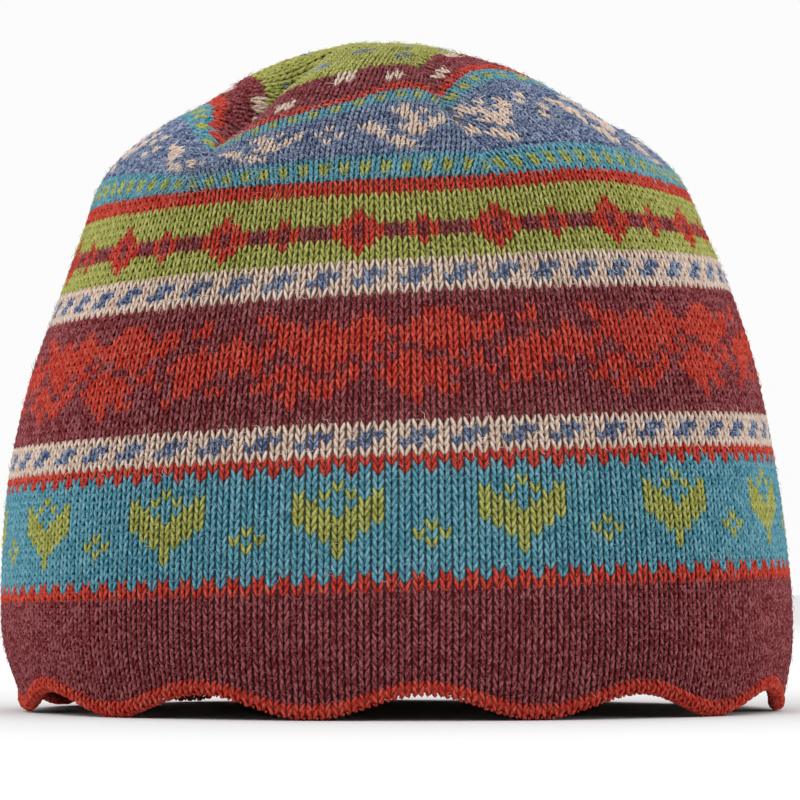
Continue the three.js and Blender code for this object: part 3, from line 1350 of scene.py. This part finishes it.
def lay_bake_map(mesh: Mesh, copies: int) -> None:
    """Gives every copy in a mesh a cell of its own on its "OFBake" map.

    Args:
        mesh: A mesh made of equal copies, with a "strand" map.
        copies: How many copies it has.
    """
    across = math.ceil(math.sqrt(copies))
    each = len(mesh.loops) // copies
    strand = np.zeros(len(mesh.loops) * 2, np.float32)
    mesh.uv_layers["strand"].data.foreach_get("uv", strand)
    strand = strand.reshape(copies, each, 2)
    cell = np.stack([np.arange(copies) % across, np.arange(copies) // across], 1)[:, None, :]
    places = (cell + CELL_EDGE + (1 - 2 * CELL_EDGE) * strand) / across
    mesh.uv_layers.new(name="OFBake").data.foreach_set("uv", places.astype(np.float32).ravel())


def hand_over(obj: Object, node: str) -> None:
    """Tells the frame which part of the hat a piece stands for.

    Args:
        obj: The finished piece.
        node: The solid that it replaces.
    """
    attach(obj, BODY)
    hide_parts(node)
    obj.data.calc_loop_triangles()
    log.info("%s: %d triangles", obj.name, len(obj.data.loop_triangles))


LayOut = Callable[[np.ndarray, int], Places]


@dataclass
class Knitting:
    """What every knitted piece is worked with: the cloth, the stitch shape and the trees."""

    cloth: HatCloth
    loop: Object
    fibre: Object
    stitches: StitchTree
    fuzz: StitchTree
    stitch_inset: float = 0.62 * MM
    unevenness: float = 0.05
    tilt: float = 0.07
    tone: float = 0.07
    fibre_share: float = 1.45
    fibre_length: float = 1.9 * MM
    fibre_tilt: float = 0.24
    fibre_over: float = 0.42 * MM

    def work(self, places: Places, name: str, seed: int, size: float = 1.0) -> Object:
        """Works a piece's stitches.

        Args:
            places: Where its stitches are.
            name: Its name.
            seed: The fixed seed.
            size: How full the stitches are.

        Returns:
            The stitches as a plain mesh.
        """
        sizes = {"Size": size, "Unevenness": self.unevenness, "Tilt": self.tilt, "Spin": 0.0}
        return self.stitches.work(places, name, self.loop, **sizes, Tone=self.tone, Seed=seed)

    def work_bands(
        self, pieces: dict[str, tuple[Band, ...]], lay_out: LayOut, seed: int, size: float = 1.0
    ) -> tuple[list[Object], Places]:
        """Works pieces one above the other.

        Args:
            pieces: The bands of each piece by its name, from the bottom up.
            lay_out: Finds the places of a chart's stitches, given its first row.
            seed: The lowest piece's fixed seed.
            size: How full the stitches are.

        Returns:
            The pieces, and the places of all their stitches.
        """
        made, everything, first_row = [], [], 0
        for extra, (name, bands) in enumerate(pieces.items()):
            chart = np.vstack([band.worked() for band in bands])
            places = lay_out(chart, first_row)
            made.append(self.work(places, name, seed + extra, size))
            everything.append(places)
            first_row += len(chart)
        return made, Places.joined(everything)

    def brush_up(self, places: Places, name: str, seed: int, share: float) -> Object:
        """Brings up loose fibres on the stitches.

        Args:
            places: The stitches.
            name: The piece's name.
            seed: The fixed seed.
            share: How many fibres there are to a stitch.

        Returns:
            The fibres as a plain mesh.
        """
        chance = np.random.default_rng(seed)
        picked = places.scattered(chance, round(share * len(places.yarn)), self.fibre_over)
        picked.stretch = np.full_like(picked.stretch, self.fibre_length)
        sizes = {"Size": 1.0, "Unevenness": 0.5, "Tilt": self.fibre_tilt, "Spin": math.pi}
        return self.fuzz.work(picked, name, self.fibre, **sizes, Tone=self.tone, Seed=seed)


@dataclass
class KnittedSide:
    """The side of the hat: six bands of colourwork between the edging and the crown."""

    knitting: Knitting
    rows: SideRows

    def band_places(self, chart: np.ndarray, first_row: int) -> Places:
        """Lays out the stitches of a piece.

        Args:
            chart: Yarn numbers, from the bottom row up.
            first_row: The row that the piece starts in.

        Returns:
            The places of its stitches.
        """
        row, column = np.indices(chart.shape)
        across, middle = column.ravel().astype(float), (row + first_row + 0.5).ravel()
        return Places.along(self.rows.point, across, middle, self.knitting.stitch_inset, chart.ravel())

    def build(self) -> Places:
        """Builds and dresses the bands, and the loose fibres on them.

        Returns:
            The places of all the stitches.
        """
        made, worked = self.knitting.work_bands(SIDE_PIECES, self.band_places, seed=0)
        made.append(self.knitting.brush_up(worked, "side_fuzz", 61, self.knitting.fibre_share))
        for piece in made:
            hand_over(piece, SIDE_NODE)
        return worked


@dataclass
class KnittedCrown:
    """The crown: rows that narrow to the top in gores between the darts."""

    knitting: Knitting
    rows: CrownRows
    fuller: float = 1.06
    fuzzier: float = 2.2
    tallest: float = 3.1 * MM
    widest: float = 4.1 * MM

    def row_places(self, yarns: np.ndarray, row: int) -> list[Places]:
        """Lays out the stitches of one row.

        Args:
            yarns: The row's yarn numbers, as if none were taken in.
            row: The row, counted up from the side.

        Returns:
            The places, gore by gore.
        """
        groups = []
        for gore in self.rows.gores():
            first = round(gore.middle * STITCHES / math.tau)
            offsets = np.arange(-STITCHES // 2, STITCHES // 2) + 0.5
            low, high = (self.rows.count(gore, row + 0.5, onward) for onward in (False, True))
            offsets = offsets[(offsets > -low) & (offsets < high)]
            if not len(offsets):
                continue
            columns = (first + offsets - 0.5).astype(int) % STITCHES
            inset, middle = self.knitting.stitch_inset, np.full(len(offsets), row + 0.5)
            point = partial(self.rows.point, gore)
            groups.append(Places.along(point, offsets, middle, inset, yarns[columns]))
        return groups

    def band_places(self, chart: np.ndarray, first_row: int) -> Places:
        """Lays out the stitches of a piece.

        Args:
            chart: Yarn numbers, from the bottom row up.
            first_row: The row that the piece starts in.

        Returns:
            The places of its stitches.
        """
        rows = [self.row_places(yarns, first_row + up) for up, yarns in enumerate(chart)]
        places = Places.joined([group for row in rows for group in row])
        return places.halved(Way.UP, self.tallest).halved(Way.ACROSS, self.widest)

    def build(self) -> Places:
        """Builds and dresses the crown, and the loose fibres on it.

        Returns:
            The places of all the stitches.
        """
        made, worked = self.knitting.work_bands(CROWN_PIECES, self.band_places, 20, self.fuller)
        share = self.fuzzier * self.knitting.fibre_share
        made.append(self.knitting.brush_up(worked, "crown_fuzz", 73, share))
        for piece in made:
            hand_over(piece, CROWN_NODE)
        return worked


@dataclass
class ScallopedEdging:
    """The red edging that binds the scalloped hem: a round core overcast with stitches."""

    knitting: Knitting
    rows: int = 5
    half_width: float = 1.25 * MM
    half_height: float = 1.45 * MM
    middle_inset: float = 1.3 * MM
    over_floor: float = 0.62 * MM
    start: float = math.radians(70)
    sweep: float = math.radians(320)
    core_sides: int = 8
    core_depth: float = 0.2 * MM

    def point(self, column: np.ndarray, turn: np.ndarray, grow: float = 0.0) -> np.ndarray:
        """Finds points on the edging.

        Args:
            column: Stitches round from the front.
            turn: Where round the section, in rows from the outside top under the hem to the inside top.
            grow: How far outside the core.

        Returns:
            The points, one to a row.
        """
        cloth = self.knitting.cloth
        azimuth = (np.asarray(column) + 0.5) * math.tau / STITCHES
        angle = self.start - np.asarray(turn) / self.rows * self.sweep
        inset = self.middle_inset - (self.half_width - grow) * np.cos(angle)
        up = self.half_height + self.over_floor + (self.half_height - grow) * np.sin(angle)
        return cloth.point(azimuth, cloth.full_arc - cloth.scallop(azimuth) - up, inset)

    def rising_point(self, column: np.ndarray, row: np.ndarray, grow: float) -> np.ndarray:
        """Finds points with the rows counted the other way, so that the stitches head up the outside."""
        return self.point(column, -row, grow)

    def build(self) -> None:
        """Builds and dresses the edging."""
        turn, column = np.indices((self.rows, STITCHES))
        yarn = np.full(turn.size, Yarn.RED.place)
        across, row = column.ravel().astype(float), -(turn + 0.5).ravel()
        places = Places.along(self.rising_point, across, row, 0.0, yarn)
        for piece in (self.knitting.work(places, "edging_stitches", 41), self.build_core()):
            hand_over(piece, EDGING_NODE)

    def build_core(self) -> Object:
        """Builds the core that the stitches bind.

        Returns:
            The core as a closed ring.
        """
        turns = np.arange(self.core_sides) * self.rows * (math.tau / self.sweep) / self.core_sides
        grid = np.stack([self.point(np.arange(STITCHES), turn, self.core_depth) for turn in turns])
        skin = Strips(STITCHES)
        for side in range(self.core_sides):
            rings = ((side + 1) % self.core_sides * STITCHES, side * STITCHES)
            skin.lay(rings, ((side + 1) / self.core_sides, side / self.core_sides))
        red = self.knitting.stitches.materials[Yarn.RED.place]
        return plain_mesh("edging_core", grid.reshape(-1, 3), skin, red)


def plain_mesh(name: str, points: np.ndarray, skin: Strips, material: Material) -> Object:
    """Makes a smooth mesh with a "strand" map and an "OFBake" map.

    Args:
        name: The piece's name.
        points: Its vertices.
        skin: Its faces.
        material: Its finish.

    Returns:
        The object.
    """
    strand = in_a_row(skin.corners)
    strip = np.repeat(skin.strips, [len(face) for face in skin.faces])
    painted = np.zeros_like(strand)
    for place in range(strip.max() + 1):
        inside = strand[strip == place]
        share = (inside - inside.min(axis=0)) / np.ptp(inside, axis=0)
        up = place + STRIP_EDGE + (1 - 2 * STRIP_EDGE) * share[:, 1]
        painted[strip == place] = np.stack([share[:, 0], up / (strip.max() + 1)], 1)
    made = smooth_object(name, points, skin.faces, {"strand": strand, "OFBake": painted})
    made.data.materials.append(material)
    return made


@dataclass(frozen=True)
class BackingFinish:
    """The cloth behind the stitches, with purl bumps on its inner side. Its colour is painted darker in the
    purl troughs, as shade.
    """

    roughness: float = 0.95
    shine: float = 0.1
    haze: float = 0.1
    column_share: float = 0.4
    fleck_scale: float = 600
    purl_shade: float = 0.16
    shade_share: float = 0.8
    bump_strength: float = 0.7
    bump_depth: float = 0.5 * MM

    def dress(self, name: str) -> Material:
        """Makes the cloth's material.

        Args:
            name: The material's name.

        Returns:
            The material.
        """
        matt = {"Roughness": self.roughness, "Specular IOR Level": self.shine, "Sheen Weight": self.haze}
        material, tree, shader = start_finish(name, matt)
        dye_and_gap_shade = add_node(tree, "ShaderNodeAttribute", attribute_name="dye_and_gap_shade").outputs["Color"]
        strand = strand_node(tree)
        plus, _, times = arithmetic(tree)
        columns, rows = (math_node(tree, "SINE", times(strand[way], math.tau)) for way in "XY")
        purl = plus(times(columns, self.column_share), rows)
        # Painted shade: the colour follows the purl bumps' height and is darker in their troughs; the clouds
        # add random flecks. The multiply darkens the whole colour.
        shade = plus(times(purl, self.purl_shade), cloud_node(tree, self.fleck_scale))
        mixed = mix_node(tree, self.shade_share, dye_and_gap_shade, shade, blend="MULTIPLY")
        tree.links.new(mixed, shader.inputs["Base Color"])
        lay_bump(tree, shader, purl, self.bump_strength, self.bump_depth)
        return material


@dataclass(frozen=True)
class FloorFinish:
    """A matt floor in two pale greys that hardly differ."""

    darker: float = 0.82
    lighter: float = 0.86
    cloud_scale: float = 3
    roughness: float = 0.9

    def dress(self, name: str) -> Material:
        """Makes the floor's material.

        Args:
            name: The material's name.

        Returns:
            The material.
        """
        material, tree, shader = start_finish(name, {"Roughness": self.roughness, "Specular IOR Level": 0})
        greys = [(grey, grey, grey, 1) for grey in (self.darker, self.lighter)]
        mixed = mix_node(tree, cloud_node(tree, self.cloud_scale), *greys)
        tree.links.new(mixed, shader.inputs["Base Color"])
        return material


SAME_PLACE = 1e-6


class WallStrip(IntEnum):
    """The strips of a wall's painted map: its skins and the rims that join them."""

    OUTER_SKIN = 0
    INNER_SKIN = 1
    LOWER_RIM = 2
    UPPER_RIM = 3


@dataclass
class ClothWall:
    """The closed wall of cloth behind a piece's stitches, with an outer and an inner skin."""

    name: str
    point: PointAt
    rows: int
    thickness: float
    open_top: bool
    columns: int = 98
    rows_to_step: int = 2
    outer_inset: float = 0.72 * MM
    wools_mixed: int = 6

    def build(self, worked: Places, material: Material) -> Object:
        """Builds the wall and colours it like the stitches over it, with painted shade on its outer skin.

        Args:
            worked: The stitches over it.
            material: Its finish.

        Returns:
            The wall as a closed mesh.
        """
        steps = self.rows // self.rows_to_step
        across = np.arange(self.columns) * STITCHES / self.columns
        levels = [np.full(self.columns, level) for level in np.linspace(0, self.rows, steps + 1)]
        insets = (self.outer_inset, self.thickness)
        points = np.concatenate([self.point(across, level, inset) for inset in insets for level in levels])
        skin = self.skins(steps)
        made = plain_mesh(self.name, points, skin, material)
        smoothed = [strip < WallStrip.LOWER_RIM for strip in skin.strips]
        made.data.polygons.foreach_set("use_smooth", smoothed)
        self.dye_and_gap_shade(made.data, worked)
        self.weld(made.data)
        return made

    def skins(self, steps: int) -> Strips:
        """Lays out the faces of both skins and of the rims that join them.

        Args:
            steps: How many faces there are from the lower edge to the upper one.

        Returns:
            The faces, each skin and each rim in a strip of its own.
        """
        skin = Strips(self.columns)
        wide = STITCHES / self.columns
        for strip in (WallStrip.OUTER_SKIN, WallStrip.INNER_SKIN):
            for step in range(steps):
                low = (strip * (steps + 1) + step) * self.columns
                levels = (step * self.rows_to_step, (step + 1) * self.rows_to_step)
                turned = strip is WallStrip.INNER_SKIN
                skin.lay((low, low + self.columns), levels, strip, wide, turned)
        for strip, level in ((WallStrip.LOWER_RIM, 0), (WallStrip.UPPER_RIM, steps)):
            if strip is WallStrip.LOWER_RIM or self.open_top:
                rings = ((steps + 1 + level) * self.columns, level * self.columns)
                skin.lay(rings, (1, 0), strip, turned=strip is WallStrip.UPPER_RIM)
        return skin

    def dye_and_gap_shade(self, mesh: Mesh, worked: Places) -> None:
        """Colours the wall with the mixed wools of the nearest stitches, as they show through the cloth.

        Args:
            mesh: The wall, with the outer skin's vertices first. That skin takes the wools' deep shades as
                painted
            shade for the gaps between the stitches; the inner skin takes their middle shades.
            worked: The stitches over it.
        """
        deep = np.array([linear(wool.deep) for wool in WOOLS])
        middle = np.array([linear(wool.middle) for wool in WOOLS])
        nearest = KDTree(len(worked.yarn))
        for place, centre in enumerate(worked.centre):
            nearest.insert(centre, place)
        nearest.balance()
        layer = mesh.color_attributes.new("dye_and_gap_shade", "FLOAT_COLOR", "POINT")
        for vertex, shade in zip(mesh.vertices, layer.data):
            found = [place for _, place, _ in nearest.find_n(vertex.co, self.wools_mixed)]
            # Painted shade: the outer skin, seen in the gaps between the stitches, takes the wools' deep
            # shades; the inner skin takes their middle shades.
            shades = deep if vertex.index < len(mesh.vertices) // 2 else middle
            shade.color = (*shades[worked.yarn[found]].mean(axis=0), 1)

    def weld(self, mesh: Mesh) -> None:
        """Joins the points that meet at the top of the crown.

        Args:
            mesh: The wall.
        """
        work = bmesh.new()
        work.from_mesh(mesh)
        bmesh.ops.remove_doubles(work, verts=work.verts, dist=SAME_PLACE)
        work.to_mesh(mesh)
        work.free()


def aimed_object(name: str, data: ID, place: tuple[float, ...], aim: tuple[float, ...]) -> Object:
    """Puts a light or a camera in the scene.

    Args:
        name: The object's name.
        data: The light or camera.
        place: Where it is.
        aim: The point that it faces.

    Returns:
        The object.
    """
    made = link_object(name, data)
    made.location = place
    made.rotation_euler = (Vector(aim) - Vector(place)).to_track_quat("-Z", "Y").to_euler()
    return made


@dataclass(frozen=True)
class Lamp:
    """A soft square light that faces the hat, its place in metres and its power in watts."""

    name: str
    place: tuple[float, float, float]
    power: float
    size: float = 0.9
    aim: tuple[float, float, float] = (0, 0, 0.08)

    def hang(self) -> None:
        """Hangs the light."""
        light = bpy.data.lights.new(self.name, "AREA")
        light.size = self.size
        light.energy = self.power
        aimed_object(self.name, light, self.place, self.aim)


@dataclass
class Studio:
    """A pale floor, soft light and a camera level with the lower part of the hat, as in the photograph."""

    floor_size: float = 14.0
    sky_strength: float = 0.97
    lamps: tuple[Lamp, ...] = (
        Lamp("key", (-0.7, -1.1, 1.3), 7.0),
        Lamp("fill", (1.1, -0.9, 0.6), 2.5),
        Lamp("back", (0.2, 1.2, 1.2), 4.0),
    )
    camera_place: tuple[float, float, float] = (0.4 * MM, -1.13, 32 * MM)
    camera_aim: tuple[float, float, float] = (0.4 * MM, 0, 74.7 * MM)
    lens: float = 210.6
    sensor: float = 36
    clip_start: float = 0.05

    def build(self) -> None:
        """Builds the stage and sets the camera."""
        self.build_floor()
        self.build_lights()
        self.build_camera()

    def build_floor(self) -> None:
        """Lays a wide pale floor."""
        square = np.array([(0, 0, 0), (1, 0, 0), (1, 1, 0), (0, 1, 0)])
        points = (square - (0.5, 0.5, 0)) * self.floor_size
        skin = Strips(4, [[0, 1, 2, 3]], [square[:, :2].tolist()], [0])
        plain_mesh("floor", points, skin, FloorFinish().dress("pale_floor"))

    def build_lights(self) -> None:
        """Hangs the soft lights and sets the sky."""
        world = bpy.data.worlds.new("pale_room")
        world.use_nodes = True
        sky = world.node_tree.nodes["Background"]
        sky.inputs["Color"].default_value = (1, 1, 1, 1)
        sky.inputs["Strength"].default_value = self.sky_strength
        bpy.context.scene.world = world
        for lamp in self.lamps:
            lamp.hang()

    def build_camera(self) -> None:
        """Sets the camera."""
        camera = bpy.data.cameras.new("camera")
        camera.lens = self.lens
        camera.sensor_width = self.sensor
        camera.clip_start = self.clip_start
        made = aimed_object("camera", camera, self.camera_place, self.camera_aim)
        bpy.context.scene.camera = made
        bpy.context.scene.view_settings.view_transform = "Standard"


def main() -> None:
    """Builds the hat piece by piece and the stage that it stands on."""
    logging.basicConfig(level=logging.INFO, format="%(name)s %(message)s", stream=sys.stdout)
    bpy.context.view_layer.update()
    cloth = HatCloth()
    side, crown = SideRows(cloth), CrownRows(cloth)
    yarns = [wool.dress(wool.yarn.name.lower() + "_wool") for wool in WOOLS]
    loose = [wool.dress(wool.yarn.name.lower() + "_fibre", fibre=True) for wool in WOOLS]
    loop, fibre = LoopShape().build(), FibreShape().build()
    knitting = Knitting(cloth, loop, fibre, StitchTree("stitches", yarns), StitchTree("fuzz", loose))
    side_places = KnittedSide(knitting, side).build()
    crown_places = KnittedCrown(knitting, crown).build()
    ScallopedEdging(knitting).build()
    back = BackingFinish().dress("cloth_back")
    side_wall = ClothWall("side_backing", side.point, SIDE_ROWS, cloth.wall, open_top=True)
    hand_over(side_wall.build(side_places, back), SIDE_NODE)
    crown_wall = ClothWall("crown_backing", crown.even_point, CROWN_ROWS, cloth.wall, open_top=False)
    hand_over(crown_wall.build(crown_places, back), CROWN_NODE)
    for shape in (loop, fibre):
        bpy.data.objects.remove(shape)
    Studio().build()


if __name__ == "__main__":
    main()
